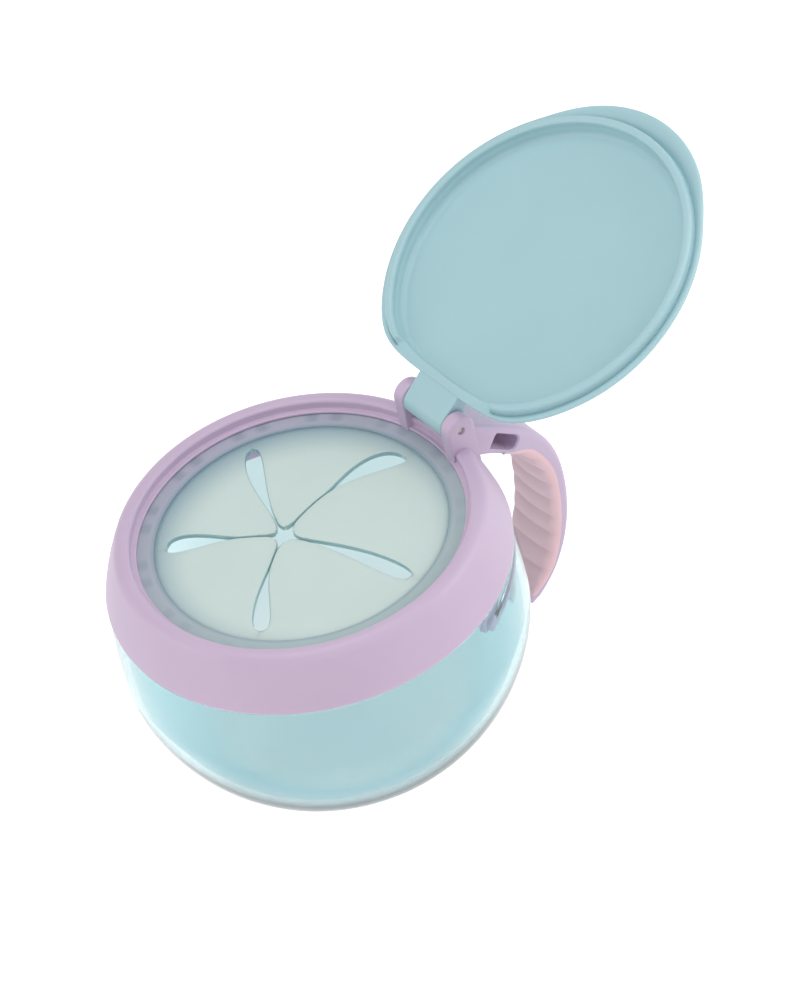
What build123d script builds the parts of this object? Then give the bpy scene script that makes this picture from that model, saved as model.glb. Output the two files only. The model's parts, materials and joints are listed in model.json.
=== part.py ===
from build123d import *
import os
from math import asin, atan2, cos, degrees, radians, sin, sqrt

# Toddler snack container: a round tub, a screw-on collar with a carrying handle, a soft
# star-slit membrane clipped under the rim, and a flip lid on a steel pin.
# Millimetres and degrees. The origin is the centre of the tub's flat foot, +Z is up, and the
# hinge and the handle are towards +X. The lid stands open, as it rests on its stop.

# ---- bowl ----
foot_radius = 27.35
mouth_radius = 47.45
bowl_height = 50.6
belly_swell = 1.3  # how far the belly stands out past the mouth
belly_drop = 18.4  # from the bowl's rim down to the belly
bowl_wall = 2.0
floor_thickness = 2.2
rim_round = 0.6
fullness = 0.436  # reach of the curve's handles between foot and belly; 0.55 is a quarter ellipse

# ---- quick thread between collar and bowl: right-handed lugs under right-handed ramps ----
thread_starts = 3
thread_lead = 24.0
lug_span = 40.0
lug_height = 3.0
lug_reach = 1.2
lug_start_angle = -65.0
lug_drop = 9.3  # from the bowl's rim down to a lug's lower end
plate_margin = 1.5  # how far the plate behind a lug runs past its ends, in degrees
ramp_span = 46.0
ramp_height = 2.2
thread_clearance = 0.25

# ---- collar ----
collar_overhang = 0.55  # past the bowl's mouth
collar_height = 13.3
cone_run = 5.1  # how far the sloping face leans in, edge to crown
crown_width = 3.4
crown_round = 2.6
opening_round = 0.8
edge_round = 0.5
collar_wall = 2.2
seat_gap = 0.2
lip_depth = 2.4
lip_width = 1.2
lip_thickness = 0.7
groove_depth = 0.7
groove_height = 1.2
pocket_wall = 1.8
skirt_wall = 1.6
skirt_depth = 4.4
channel_roof = 1.0  # how far the moulded hollow runs up past the snap groove
ear_foot_share = 0.35  # share of the collar's height where the hinge ears begin
cut_past = 1.0  # how far a cutting body runs past the face it cuts

# ---- soft membrane ----
flap_count = 5
flap_thickness = 1.2
band_thickness = 1.0
disc_step = 0.3
band_width = 5.25  # from the collar's opening in to the disc
slit_margin = 2.75  # from the disc's step in to the slits' ends
slit_width = 0.5
slit_bulge = 2.6
slit_taper_start = 13.0
flap_tip_round = 3.0
flap_clearance = 0.2
band_clearance = 0.1

# ---- retainer ring under the membrane's band ----
retainer_height = 2.6
retainer_clearance = 0.3
tab_count = 13
tab_angle = 4.4
tab_start_angle = -38.8
relief_angle = 5.0
relief_length = 2.9
hook_reach = 0.8
hook_height = 0.8
hook_drop = 0.3  # below the middle of the ring's height

# ---- hinge ----
pin_radius = 1.0
pin_out = 1.55  # from the collar's opening out to the pin
pin_rise = 5.1
pin_recess = 0.6
ear_radius = 3.8
ear_thickness = 3.4
knuckle_radius = 3.55
knuckle_width = 14.0
hinge_side_gap = 0.08
pin_clearance = 0.05
open_angle = 156.18

# ---- lid ----
lid_overlap = 1.5  # of the flange over the collar's crown
lid_gap = 0.2
flange_thickness = 1.1
lid_wall = 2.0
dome_step = 0.7  # from the flange's edge in to the dome
dome_draft = 0.7
shoulder_height = 4.4
dome_crown = 1.2
dome_round = 3.0
plug_clearance = 0.3
plug_wall = 2.2
plug_depth = 2.0
plug_round = 0.65
plug_gap_angle = 28.2  # from the hinge's direction to each end of the plug ring
recess_ledge = 0.5  # between the recess and the plug ring's inner face
recess_draft = 0.3
recess_round = 1.2
crown_flat = 6.0  # radius of the flat in the middle of the dome
lid_cut = 5.05
lid_corner_round = 6.0
thumb_reach = 3.0
thumb_inset = 6.5  # how much smaller the thumb rest's disc is than the lid

# ---- handle ----
handle_width = 16.5
finger_gap = 13.8
grip_thickness = 1.8
grip_edge = 0.9  # height of the grip's blunt ends
spine_thickness = 3.9
middle_rise = 31.0  # from the tip up to the handle's farthest point
tip_height = 1.5
tip_gap = 5.45  # from the belly out to the tip
tip_thickness = 3.4
tip_slope = 38.0
bar_over_rim = 2.3  # height above the rim at which the bar leaves the ears
bar_thickness = 10.0
bar_slope = 35.0
underside_slope = 22.0
handle_edge_round = 1.5
# how far each stretch's handles reach, as shares of its chord: (from its start, to its end)
outer_reach = (0.485, 0.353)
inner_reach = (0.27, 0.30)
seam_reach = (0.28, 0.33)
middle_reach = (0.5, 0.45)  # above and below the farthest point
grip_start = 0.22  # share of the inner side, collar to middle, where the grip begins
grip_end = 0.74  # share of the inner side, middle to tip, where the grip ends
seam_spread = 8.0  # angle at which the seam leaves the inner side's direction
rib_pitch = 4.4
rib_margin = 4.1  # from each end of the grip to the first groove
groove_radius = 1.4
rib_depth = 0.5
slot_length = 7.4
slot_width = 3.9
slot_round_share = 0.45  # of the slot's width
slot_share = 0.34  # share of the outer side, collar to middle, where the slot sits
slot_inset = 2.6  # from the outer side in to the slot's middle

# ---- heights and radii that follow ----
belly_radius = mouth_radius + belly_swell
belly_height = bowl_height - belly_drop
collar_radius = mouth_radius + collar_overhang
crown_radius = collar_radius - cone_run
opening_radius = crown_radius - crown_width
disc_radius = opening_radius - band_width
slit_radius = disc_radius - slit_margin
lid_radius = opening_radius + lid_overlap
dome_radius = lid_radius - dome_step
thumb_disc_radius = lid_radius - thumb_inset
pin_x = opening_radius + pin_out
tip_x = belly_radius + tip_gap
middle_height = tip_height + middle_rise
seat_height = bowl_height + seat_gap
rim_height = seat_height + collar_height
pin_height = rim_height + pin_rise
bowl_bore = mouth_radius - bowl_wall
lug_radius = bowl_bore - thread_clearance
lug_middle = bowl_height - lug_drop + lug_height / 2
skirt_radius = lug_radius - lug_reach
skirt_bore = skirt_radius - skirt_wall
ramp_bore = skirt_radius + thread_clearance
lip_radius = opening_radius - lip_width
lip_bottom = rim_height - lip_depth - lip_thickness
band_top = lip_bottom - band_clearance
band_radius = (lip_radius + opening_radius) / 2
retainer_top = band_top - band_thickness
retainer_bottom = retainer_top - retainer_height
retainer_radius = opening_radius - retainer_clearance
groove_middle = (retainer_bottom + retainer_top) / 2 - hook_drop
pocket_bottom = retainer_bottom - band_clearance
flap_top = band_top - disc_step
flap_middle = flap_top - flap_thickness / 2
half_step = 180 / flap_count
chord_distance = slit_radius * cos(radians(half_step))
chord_half = slit_radius * sin(radians(half_step))
ear_inside = knuckle_width / 2 + hinge_side_gap
lid_bottom = rim_height + lid_gap
lid_edge_x = pin_x - lid_cut
plug_radius = opening_radius - plug_clearance
plug_bore = plug_radius - plug_wall
dome_shoulder = lid_bottom + shoulder_height
far = 200.0  # longer than the whole object, for cutting bodies


def outline(points):
    """A closed straight-sided face in the X-Z plane."""
    return make_face(Plane.XZ * Polyline(*points, close=True))


def turned(face):
    """A full revolution about the vertical axis."""
    return revolve(face, Axis.Z, 360)


def ring(inner, outer, bottom, top):
    """A plain ring with square corners."""
    return turned(outline([(inner, bottom), (outer, bottom), (outer, top), (inner, top)]))


def circles_at(body, height):
    """The round edges of a body at a height, the smallest first."""
    level = body.edges().filter_by(GeomType.CIRCLE).filter_by_position(
        Axis.Z, height - 0.01, height + 0.01
    )
    return level.sort_by(SortBy.RADIUS)


def helical_band(inner, outer, middle, height, span):
    """A block wound on the thread's helix from the lug's angle, at `middle` where it starts."""
    path = Helix(thread_lead, thread_lead * span / 360, (inner + outer) / 2)
    section = Plane(path @ 0, x_dir=(1, 0, 0), z_dir=path % 0) * Rectangle(outer - inner, height)
    band = sweep(section, path=path, is_frenet=True)
    return Pos(0, 0, middle) * Rot(0, 0, lug_start_angle) * band


def each_start(shape):
    """One copy of a lug or ramp for each start of the thread."""
    return [Rot(0, 0, 360 * start / thread_starts) * shape for start in range(thread_starts)]


# ---- bowl ----
def bowl_body(foot, belly, mouth, bottom):
    """Foot to belly on a Bezier quarter, then belly to mouth on an arc that starts upright."""
    side = fullness * (belly - foot)
    rise = fullness * (belly_height - bottom)
    widest = (belly, belly_height)
    lower = Bezier((foot, bottom), (foot + side, bottom), (belly, belly_height - rise), widest)
    upper = TangentArc(widest, (mouth, bowl_height), tangent=(0, 1))
    top = Line((mouth, bowl_height), (0, bowl_height))
    axis = Line((0, bowl_height), (0, bottom))
    floor = Line((0, bottom), (foot, bottom))
    return turned(make_face(Plane.XZ * Curve([lower, upper, top, axis, floor])))


def make_bowl():
    outside = bowl_body(foot_radius, belly_radius, mouth_radius, 0)
    inside_foot = foot_radius - bowl_wall / 2
    inside = bowl_body(inside_foot, belly_radius - bowl_wall, bowl_bore, floor_thickness)
    shell = outside - inside
    shell = fillet(circles_at(shell, bowl_height), min(rim_round, bowl_wall * 0.45))
    # each ramp starts over a lug's lower end, one clearance above it
    ramp_middle = lug_middle + lug_height / 2 + thread_clearance + ramp_height / 2
    ramp = helical_band(ramp_bore, bowl_bore + bowl_wall / 2, ramp_middle, ramp_height, ramp_span)
    return shell + each_start(ramp)


# ---- collar ----
def cone_radius(height):
    """Radius of the collar's sloping outer face at a height."""
    return collar_radius - (collar_radius - crown_radius) * (height - seat_height) / collar_height


def collar_envelope():
    """The collar's outer form, filled to the axis, with its rounded crown."""
    crown = (crown_radius, rim_height)
    body = turned(outline([(0, seat_height), (collar_radius, seat_height), crown, (0, rim_height)]))
    body = fillet(circles_at(body, rim_height), crown_round)
    return fillet(circles_at(body, seat_height), edge_round)


def collar_cavity():
    """Everything open to the middle: lid opening, lip, insert pocket, snap groove and mouth."""
    groove_radius = opening_radius + groove_depth
    groove_top = groove_middle + groove_height / 2
    groove_bottom = groove_middle - groove_height / 2
    flare_top = (opening_radius + opening_round, rim_height)
    flare_end = (opening_radius, rim_height - opening_round)
    half_way = opening_round * cos(radians(45))
    flare_middle = (flare_top[0] - half_way, flare_end[1] + half_way)
    flare = ThreePointArc(flare_top, flare_middle, flare_end)
    points = [
        flare_end,
        (opening_radius, rim_height - lip_depth),
        (lip_radius, rim_height - lip_depth),
        (lip_radius, lip_bottom),
        (opening_radius, lip_bottom),
        (opening_radius, groove_top),
        (groove_radius, groove_top),
        (groove_radius, groove_bottom),
        (opening_radius, groove_bottom),
        (opening_radius, pocket_bottom),
        (skirt_bore, pocket_bottom - (skirt_bore - opening_radius)),
        (skirt_bore, seat_height - far),
        (0, seat_height - far),
        (0, rim_height),
        flare_top,
    ]
    return turned(make_face(Plane.XZ * Curve([flare, Polyline(*points)])))


def collar_channel():
    """The moulded hollow between the sloping outer wall and the pocket and skirt."""
    pocket_outside = opening_radius + pocket_wall
    # radius plus height stays the same down the 45 degree slope between pocket and skirt
    slope_sum = pocket_bottom + opening_radius + skirt_wall * sqrt(2)
    top = groove_middle + groove_height / 2 + channel_roof
    bottom = seat_height - cut_past
    points = [
        (skirt_radius, bottom),
        (skirt_radius, slope_sum - skirt_radius),
        (pocket_outside, slope_sum - pocket_outside),
        (pocket_outside, top),
        (cone_radius(top) - collar_wall, top),
        (cone_radius(bottom) - collar_wall, bottom),
    ]
    return turned(outline(points))


def hinge_ears():
    """Two upright plates with round tops about the pin, down into the collar's slope."""
    low = seat_height + collar_height * ear_foot_share
    front = pin_x - ear_radius
    back = pin_x + ear_radius
    plate = outline([(front, low), (back, low), (back, pin_height), (front, pin_height)])
    plate = plate + Plane.XZ * Pos(pin_x, pin_height) * Circle(ear_radius)
    near = Pos(0, -ear_inside, 0) * extrude(plate, ear_thickness)
    return near + mirror(near, Plane.XZ)


def lug_skirt():
    """The skirt inside the bowl's mouth: short, with a longer plate behind each helical lug."""
    low = bowl_height - lug_drop
    high = bowl_height - skirt_depth
    skirt = ring(skirt_bore, skirt_radius, low, seat_height + edge_round)
    window = outline([
        (skirt_bore - cut_past, low - cut_past),
        (skirt_radius + cut_past, low - cut_past),
        (skirt_radius + cut_past, high),
        (skirt_bore - cut_past, high),
    ])
    plate_span = lug_span + 2 * plate_margin
    window = revolve(window, Axis.Z, 360 / thread_starts - plate_span)
    window = Rot(0, 0, lug_start_angle + lug_span + plate_margin) * window
    lug_root = skirt_radius - skirt_wall / 2
    lug = helical_band(lug_root, lug_radius, lug_middle, lug_height, lug_span)
    return skirt - each_start(window) + each_start(lug)


def make_collar():
    shell = collar_envelope() + hinge_ears() - collar_cavity() - collar_channel()
    bore = Plane.XZ * Pos(pin_x, pin_height) * Circle(pin_radius)
    return shell + lug_skirt() - extrude(bore, far, both=True)


# ---- soft membrane ----
def slit():
    """One teardrop slit along +X from the middle, narrow at first and widest near its end."""
    narrow_radius = slit_width / 2
    end_x = slit_radius - slit_bulge
    lean = asin((slit_bulge - narrow_radius) / (end_x - slit_taper_start))
    upper = [
        (middle - radius * sin(lean), radius * cos(lean))
        for middle, radius in ((slit_taper_start, narrow_radius), (end_x, slit_bulge))
    ]
    lower = [(x, -y) for x, y in reversed(upper)]
    taper = make_face(Polyline(*upper, *lower, close=True))
    narrow = Pos(slit_taper_start / 2, 0) * Rectangle(slit_taper_start, slit_width)
    return taper + narrow + Pos(end_x, 0) * Circle(slit_bulge)


def slit_cutter(angle):
    """The slit at an angle, as a cutting body through the whole membrane."""
    body = extrude(slit(), 3 * flap_thickness, both=True)
    return Rot(0, 0, angle) * Pos(0, 0, flap_middle) * body


def root_rod(radius, length):
    """A rod along the root of the flap that points along +X from the middle."""
    return Pos(chord_distance, 0, flap_middle) * Rot(90, 0, 0) * Cylinder(radius, length)


def make_flap(number):
    """A wedge between two slits, with a round nose along its root to bend about."""
    wedge = make_face(
        Polyline((0, 0), (chord_distance, -chord_half), (chord_distance, chord_half), close=True)
    )
    wedge = wedge - Rot(0, 0, half_step) * slit() - Rot(0, 0, -half_step) * slit()
    wedge = fillet(wedge.vertices().sort_by(Axis.X)[0], flap_tip_round)
    flap = Pos(0, 0, flap_top - flap_thickness) * extrude(wedge, flap_thickness)
    # the round end of each slit takes this much of the root
    slit_share = 2 * slit_bulge * sin(radians(half_step))
    flap = flap + root_rod(flap_thickness / 2, 2 * (chord_half - slit_share))
    flap = flap - slit_cutter(half_step) - slit_cutter(-half_step)
    return Rot(0, 0, half_step * (2 * number + 1)) * flap


def make_membrane():
    """The band that is clamped under the lip, and the disc round the five flaps."""
    band = ring(disc_radius - band_thickness, band_radius, band_top - band_thickness, band_top)
    step = Pos(0, 0, band_top) * Cylinder(disc_radius, 2 * disc_step)
    web = Pos(0, 0, flap_middle) * Cylinder(disc_radius, flap_thickness)
    hole = RegularPolygon(slit_radius, flap_count, major_radius=True)
    body = band - step + web - Pos(0, 0, flap_middle) * extrude(hole, 2 * flap_thickness, both=True)
    groove = root_rod(flap_thickness / 2 + flap_clearance, 2 * chord_half)
    for number in range(flap_count):
        body = body - slit_cutter(2 * half_step * number)
        body = body - Rot(0, 0, half_step * (2 * number + 1)) * groove
    return body


# ---- retainer ring ----
def make_retainer():
    """A ring with snap tabs: two relief slots beside each tab, and a hook nose on it."""
    body = ring(disc_radius + flap_clearance, retainer_radius, retainer_bottom, retainer_top)
    slot = outline([
        (retainer_radius - relief_length, retainer_bottom - cut_past),
        (retainer_radius + cut_past, retainer_bottom - cut_past),
        (retainer_radius + cut_past, retainer_top + cut_past),
        (retainer_radius - relief_length, retainer_top + cut_past),
    ])
    slot = revolve(slot, Axis.Z, relief_angle)
    low = groove_middle - hook_height / 2
    high = groove_middle + hook_height / 2
    hook = outline([
        (retainer_radius - hook_reach, low),
        (retainer_radius + hook_reach, low),
        (retainer_radius, high),
        (retainer_radius - hook_reach, high),
    ])
    hook = revolve(hook, Axis.Z, tab_angle)
    for number in range(tab_count):
        first = tab_start_angle + 360 * number / tab_count - tab_angle / 2
        body = body - Rot(0, 0, first + tab_angle) * slot - Rot(0, 0, first - relief_angle) * slot
        body = body + Rot(0, 0, first) * hook
    return body


# ---- lid, drawn closed and then swung open about the pin ----
def hinge_side(x):
    """The space beyond a plane across the lid, towards the hinge."""
    return Pos(x + far / 2, 0, lid_bottom) * Box(far, far, far)


def lid_plan():
    """The lid from above: a disc with a straight cut towards the hinge and round corners."""
    cut = Pos(lid_edge_x + far / 2, 0) * Rectangle(far, far)
    disc = Circle(lid_radius) - cut
    return fillet(disc.vertices().group_by(Axis.X)[-1], lid_corner_round)


def lid_dome(radius, shoulder, draft, rounding):
    """A shallow domed body on the lid's underside plane, with a rounded shoulder."""
    corner = (radius - draft, shoulder)
    crown = shoulder + dome_crown
    arc = TangentArc((crown_flat, crown), corner, tangent=(1, 0))
    sides = Polyline(corner, (radius, lid_bottom), (0, lid_bottom), (0, crown), (crown_flat, crown))
    body = turned(make_face(Plane.XZ * Curve([arc, sides])))
    return fillet(circles_at(body, shoulder)[-1], rounding)


def plug_ring():
    """The ring that enters the collar's opening, with a round tip, open towards the hinge."""
    tip = lid_bottom - plug_depth
    top = lid_bottom + flange_thickness / 2
    corners = [(plug_bore, top), (plug_bore, tip), (plug_radius, tip), (plug_radius, top)]
    profile = make_face(Polyline(*corners, close=True))
    profile = fillet(profile.vertices().group_by(Axis.Y)[0], plug_round)
    turned_part = revolve(Plane.XZ * profile, Axis.Z, 360 - 2 * plug_gap_angle)
    return Rot(0, 0, plug_gap_angle) * turned_part


def make_lid():
    plan = Pos(0, 0, lid_bottom) * lid_plan()
    dome = lid_dome(dome_radius, dome_shoulder, dome_draft, dome_round)
    dome = dome & extrude(plan, far / 4)
    thumb_middle = thumb_disc_radius - lid_radius - thumb_reach
    thumb = Pos(thumb_middle, 0, lid_bottom) * Circle(thumb_disc_radius)
    flange = extrude(plan + thumb, flange_thickness)
    recess_radius = plug_bore - recess_ledge
    recess = lid_dome(recess_radius, dome_shoulder - lid_wall, recess_draft, recess_round)
    recess = recess - hinge_side(lid_edge_x - lid_wall)
    # the tongue narrows from the lid's edge to the knuckle about the pin
    root_x = lid_edge_x - lid_wall / 2
    circle = Pos(pin_x, pin_height) * Circle(knuckle_radius)
    root = Polyline((root_x, lid_bottom), (lid_edge_x, lid_bottom), (root_x, dome_shoulder), close=True)
    tongue = make_hull(Curve(circle.edges() + root.edges()).edges())
    tongue = extrude(Plane.XZ * tongue, knuckle_width / 2, both=True)
    lid = dome + flange - recess + plug_ring() + tongue
    bore = Plane.XZ * Pos(pin_x, pin_height) * Circle(pin_radius + pin_clearance)
    lid = lid - extrude(bore, far, both=True)
    return lid.rotate(Axis((pin_x, 0, pin_height), (0, 1, 0)), open_angle)


def make_pin():
    length = 2 * (ear_inside + ear_thickness - pin_recess)
    return Pos(pin_x, 0, pin_height) * Rot(90, 0, 0) * Cylinder(pin_radius, length)


# ---- handle ----
def heading(angle, length):
    """A step of a length at an angle above +X."""
    return Vector(length * cos(radians(angle)), length * sin(radians(angle)))


def handle_side(start, start_slope, middle_x, end, end_slope, reach):
    """Out from the collar and down to the farthest point, upright there, then on to the end."""
    middle = Vector(middle_x, middle_height)
    start_step = heading(-start_slope, reach[0] * (middle - start).length)
    end_step = heading(end_slope, reach[1] * (middle - end).length)
    above = middle + Vector(0, middle_reach[0] * (start.Y - middle.Y))
    below = middle - Vector(0, middle_reach[1] * (middle.Y - end.Y))
    upper = Bezier(start, start + start_step, above, middle)
    lower = Bezier(middle, below, end + end_step, end)
    return upper, lower


def into_body(curve, share):
    """The direction into the handle, square to its inner side, at a share of a curve's length."""
    way = curve % share
    return Vector(-way.Y, way.X)


def handle_sides():
    """The outer and inner side lines of the whole handle, from the ears to the tip."""
    inner_x = belly_radius + finger_gap
    outer_x = inner_x + grip_thickness + spine_thickness
    start = Vector(pin_x + ear_radius, rim_height + bar_over_rim)
    under = start - Vector(0, bar_thickness)
    tip = Vector(tip_x, tip_height)
    tip_inner = tip + heading(90 + tip_slope, tip_thickness)
    outer = handle_side(start, bar_slope, outer_x, tip, tip_slope, outer_reach)
    inner = handle_side(under, underside_slope, inner_x, tip_inner, tip_slope, inner_reach)
    return outer, inner


def whole_outline(outer, inner):
    """The handle's side view: both sides, a round tip, and a root inside the collar's crown."""
    start, under = outer[0] @ 0, inner[0] @ 0
    tip, tip_inner = outer[1] @ 1, inner[1] @ 1
    tip_end = (tip + tip_inner) / 2 - heading(tip_slope, tip_thickness / 2)
    tip_curve = ThreePointArc(tip, tip_end, tip_inner)
    root = (pin_x + pin_radius, rim_height - crown_round)
    collar_end = Polyline(under, (root[0], under.Y), root, start)
    return make_face(Curve([*outer, tip_curve, *inner, collar_end]))


def grip_outline(inner):
    """The soft grip's side view, from its seam with the arm out past the inner side."""
    first, last = into_body(inner[0], grip_start), into_body(inner[1], grip_end)
    seam_start = inner[0] @ grip_start + first * grip_edge
    seam_end = inner[1] @ grip_end + last * grip_edge
    seam_x = belly_radius + finger_gap + grip_thickness
    start_slope = 90 - degrees(atan2(first.Y, first.X)) - seam_spread
    end_slope = degrees(atan2(last.Y, last.X)) + 90
    seam = handle_side(seam_start, start_slope, seam_x, seam_end, end_slope, seam_reach)
    beyond = [seam_start, seam_start - first * finger_gap, seam_end - last * finger_gap, seam_end]
    return make_face(Curve([*seam, Polyline(*beyond)]))


def rib_grooves(inner):
    """Round grooves across the inner side, a pitch apart along it, between the grip's ribs."""
    upper, lower = inner
    begin = grip_start * upper.length + rib_margin
    length = upper.length + grip_end * lower.length - rib_margin - begin
    grooves = []
    for number in range(int(length / rib_pitch) + 1):
        along = begin + number * rib_pitch
        curve, share = upper, along / upper.length
        if share > 1:
            curve, share = lower, (along - upper.length) / lower.length
        middle = curve @ share - into_body(curve, share) * (groove_radius - rib_depth)
        grooves.append(Plane.XZ * Pos(middle.X, middle.Y) * Circle(groove_radius))
    return [extrude(groove, handle_width, both=True) for groove in grooves]


def strap_slot(outer):
    """A slot through the bar, square towards the collar and round towards the handle."""
    slot = Rectangle(slot_length, slot_width)
    slot = fillet(slot.vertices().group_by(Axis.X)[-1], slot_width * slot_round_share)
    way = outer[0] % slot_share
    middle = outer[0] @ slot_share - into_body(outer[0], slot_share) * slot_inset
    turn = degrees(atan2(way.Y, way.X))
    return extrude(Plane.XZ * Pos(middle.X, middle.Y) * Rot(0, 0, turn) * slot, handle_width, both=True)


def make_handle():
    """The rigid arm, which meets the collar face to face, and the soft grip on its inner side."""
    outer, inner = handle_sides()
    body = extrude(Plane.XZ * whole_outline(outer, inner), handle_width / 2, both=True)
    sides = body.edges().filter_by(lambda edge: abs(abs(edge.center().Y) - handle_width / 2) < 0.01)
    body = fillet(sides.filter_by_position(Axis.X, pin_x + 2 * ear_radius, far), handle_edge_round)
    body = body - collar_envelope() - hinge_ears()
    filling = extrude(Plane.XZ * grip_outline(inner), handle_width, both=True)
    arm = body - filling - strap_slot(outer)
    skin = (body & filling) - rib_grooves(inner)
    return arm, skin


os.makedirs("parts", exist_ok=True)
handle_arm, handle_grip = make_handle()
nodes = {
    "bowl": make_bowl(),
    "collar": make_collar(),
    "handle_arm": handle_arm,
    "handle_grip": handle_grip,
    "membrane_ring": make_membrane(),
    "retainer_ring": make_retainer(),
    "lid": make_lid(),
    "hinge_pin": make_pin(),
}
for number in range(flap_count):
    nodes[f"flap_{number + 1}"] = make_flap(number)
for name, shape in nodes.items():
    shape.label = name
    export_step(shape, f"parts/{name}.step")
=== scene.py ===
import json
from math import atan2, ceil, cos, degrees, pi, radians, sin

import bmesh
import bpy
import numpy as np
from mathutils import Matrix, Vector


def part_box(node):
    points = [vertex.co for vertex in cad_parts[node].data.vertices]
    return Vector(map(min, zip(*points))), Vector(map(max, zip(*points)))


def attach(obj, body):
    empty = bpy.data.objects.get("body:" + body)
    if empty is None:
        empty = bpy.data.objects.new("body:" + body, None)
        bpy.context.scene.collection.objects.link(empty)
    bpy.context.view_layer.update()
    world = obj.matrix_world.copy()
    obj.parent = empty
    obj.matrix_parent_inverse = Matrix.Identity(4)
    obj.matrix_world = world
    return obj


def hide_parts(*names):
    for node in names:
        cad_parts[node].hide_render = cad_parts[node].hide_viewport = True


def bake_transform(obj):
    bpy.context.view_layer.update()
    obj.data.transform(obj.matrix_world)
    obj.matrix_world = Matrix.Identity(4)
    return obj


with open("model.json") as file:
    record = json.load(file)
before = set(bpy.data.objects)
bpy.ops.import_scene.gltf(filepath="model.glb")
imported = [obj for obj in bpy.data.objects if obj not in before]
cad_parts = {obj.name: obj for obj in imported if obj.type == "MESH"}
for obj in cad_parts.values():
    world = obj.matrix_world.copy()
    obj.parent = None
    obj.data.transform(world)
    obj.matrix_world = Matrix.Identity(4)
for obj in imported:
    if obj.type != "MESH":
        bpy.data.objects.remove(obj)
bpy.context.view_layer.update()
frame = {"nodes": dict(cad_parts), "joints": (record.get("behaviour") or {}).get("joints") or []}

metre = 0.001  # the frame is in metres, and every size below is in millimetres


# lowest and highest corner of a frame node
def nodeBox(node):
    low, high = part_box(node)
    return np.array(low) / metre, np.array(high) / metre


hinge = next(joint for joint in frame["joints"] if joint["name"] == "lid_hinge")
pinX, pinZ = hinge["pos_m"][0] / metre, hinge["pos_m"][2] / metre
pinPlace = np.array([pinX, 0, pinZ])
openAngle = -hinge["range_deg"][0]
bellyRadius, _, bowlTop = nodeBox("bowl")[1]
flapBottom, flapTop = nodeBox("flap_1")[0][2], nodeBox("flap_1")[1][2]
bandTop = nodeBox("membrane_ring")[1][2]
seatGap, collarHeight, openingRadius = 0.2, 13.3, 39.5
seatHeight = bowlTop + seatGap
rimHeight = seatHeight + collarHeight


# angles in radians, an even step apart, between two given in degrees
def arc(low, high, count):
    return np.radians(np.linspace(low, high, count))


# that many angles round the circle, in degrees
def everyAngle(count):
    return np.arange(count) * 360 / count


# unit vector at an angle in degrees
def direction(angle):
    return np.array([cos(radians(angle)), sin(radians(angle))])


# 0 below low, 1 above high, and 3t squared minus 2t cubed between them
def smoothStep(value, low, high):
    t = np.clip((value - low) / (high - low), 0, 1)
    return t * t * (3 - 2 * t)


# corner points joined by straight runs, each corner replaced by an arc of its own radius, which
# touches both runs at radius / tan(half the corner's angle) from the corner
def roundedPath(corners, radii, closed=True, longest=1.0, arcStep=9.0):
    points = []
    count = len(corners)
    for index, (corner, radius) in enumerate(zip(corners, radii)):
        here = np.array(corner, float)
        if radius == 0 or (not closed and index in (0, count - 1)):
            points.append(here[None])
            continue
        before = np.array(corners[index - 1], float) - here
        after = np.array(corners[(index + 1) % count], float) - here
        before /= np.linalg.norm(before)
        after /= np.linalg.norm(after)
        half = np.arccos(np.clip(before @ after, -1, 1)) / 2
        bisector = (before + after) / np.linalg.norm(before + after)
        centre = here + bisector * radius / sin(half)
        first = here + before * radius / np.tan(half) - centre
        last = here + after * radius / np.tan(half) - centre
        sweep = atan2(first[0] * last[1] - first[1] * last[0], first @ last)
        turn = np.linspace(0, sweep, max(3, ceil(abs(degrees(sweep)) / arcStep - 0.01) + 1))[:, None]
        side = np.array([-first[1], first[0]])
        points.append(centre + first * np.cos(turn) + side * np.sin(turn))
    return filled(np.vstack(points), closed, longest)


# the same line with extra points wherever a run is longer than a given length
def filled(points, closed, longest):
    ends = np.vstack([points[1:], points[:1]]) if closed else points[1:]
    starts = points if closed else points[:-1]
    steps = np.maximum(1, np.ceil(np.linalg.norm(ends - starts, axis=1) / longest)).astype(int)
    whole = np.concatenate([np.arange(n) / n for n in steps])[:, None]
    line = np.repeat(starts, steps, axis=0) * (1 - whole) + np.repeat(ends, steps, axis=0) * whole
    return line if closed else np.vstack([line, points[-1:]])


# cubic curve: the four points weighted by the cubic Bernstein terms
def bezier(start, startHandle, endHandle, end, count):
    t = np.linspace(0, 1, count)[:, None]
    near = (1 - t) ** 3 * np.array(start) + 3 * (1 - t) ** 2 * t * np.array(startHandle)
    return near + 3 * (1 - t) * t ** 2 * np.array(endHandle) + t ** 3 * np.array(end)


# distance along a line at each of its points
def alongLine(line):
    return np.concatenate([[0], np.cumsum(np.linalg.norm(np.diff(line, axis=0), axis=1))])


# points of a line at given distances, where along says how far each of its own points is
def atDistances(line, along, distances):
    return np.column_stack([np.interp(distances, along, line[:, 0]), np.interp(distances, along, line[:, 1])])


# the same line with that many points, an even step apart
def resampled(line, count):
    along = alongLine(line)
    return atDistances(line, along, np.linspace(0, along[-1], count))


# a quarter circle from a face to the side next to it: how far each point lies in from the side,
# radius (1 - sin a), and how far below the face, radius (1 - cos a)
def roundedEdge(radius, count=7):
    turn = arc(0, 90, count)
    return radius * (1 - np.sin(turn)), radius * (1 - np.cos(turn))


# points about the vertical axis: x = r cos, y = r sin
def aroundAxis(radius, turn, height):
    return np.stack(np.broadcast_arrays(radius * np.cos(turn), radius * np.sin(turn), height), axis=-1)


# a line of (radius, height) turned about the vertical axis
def turnedGrid(line, angles):
    return aroundAxis(line[:, 0], np.radians(angles)[:, None], line[:, 1])


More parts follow.
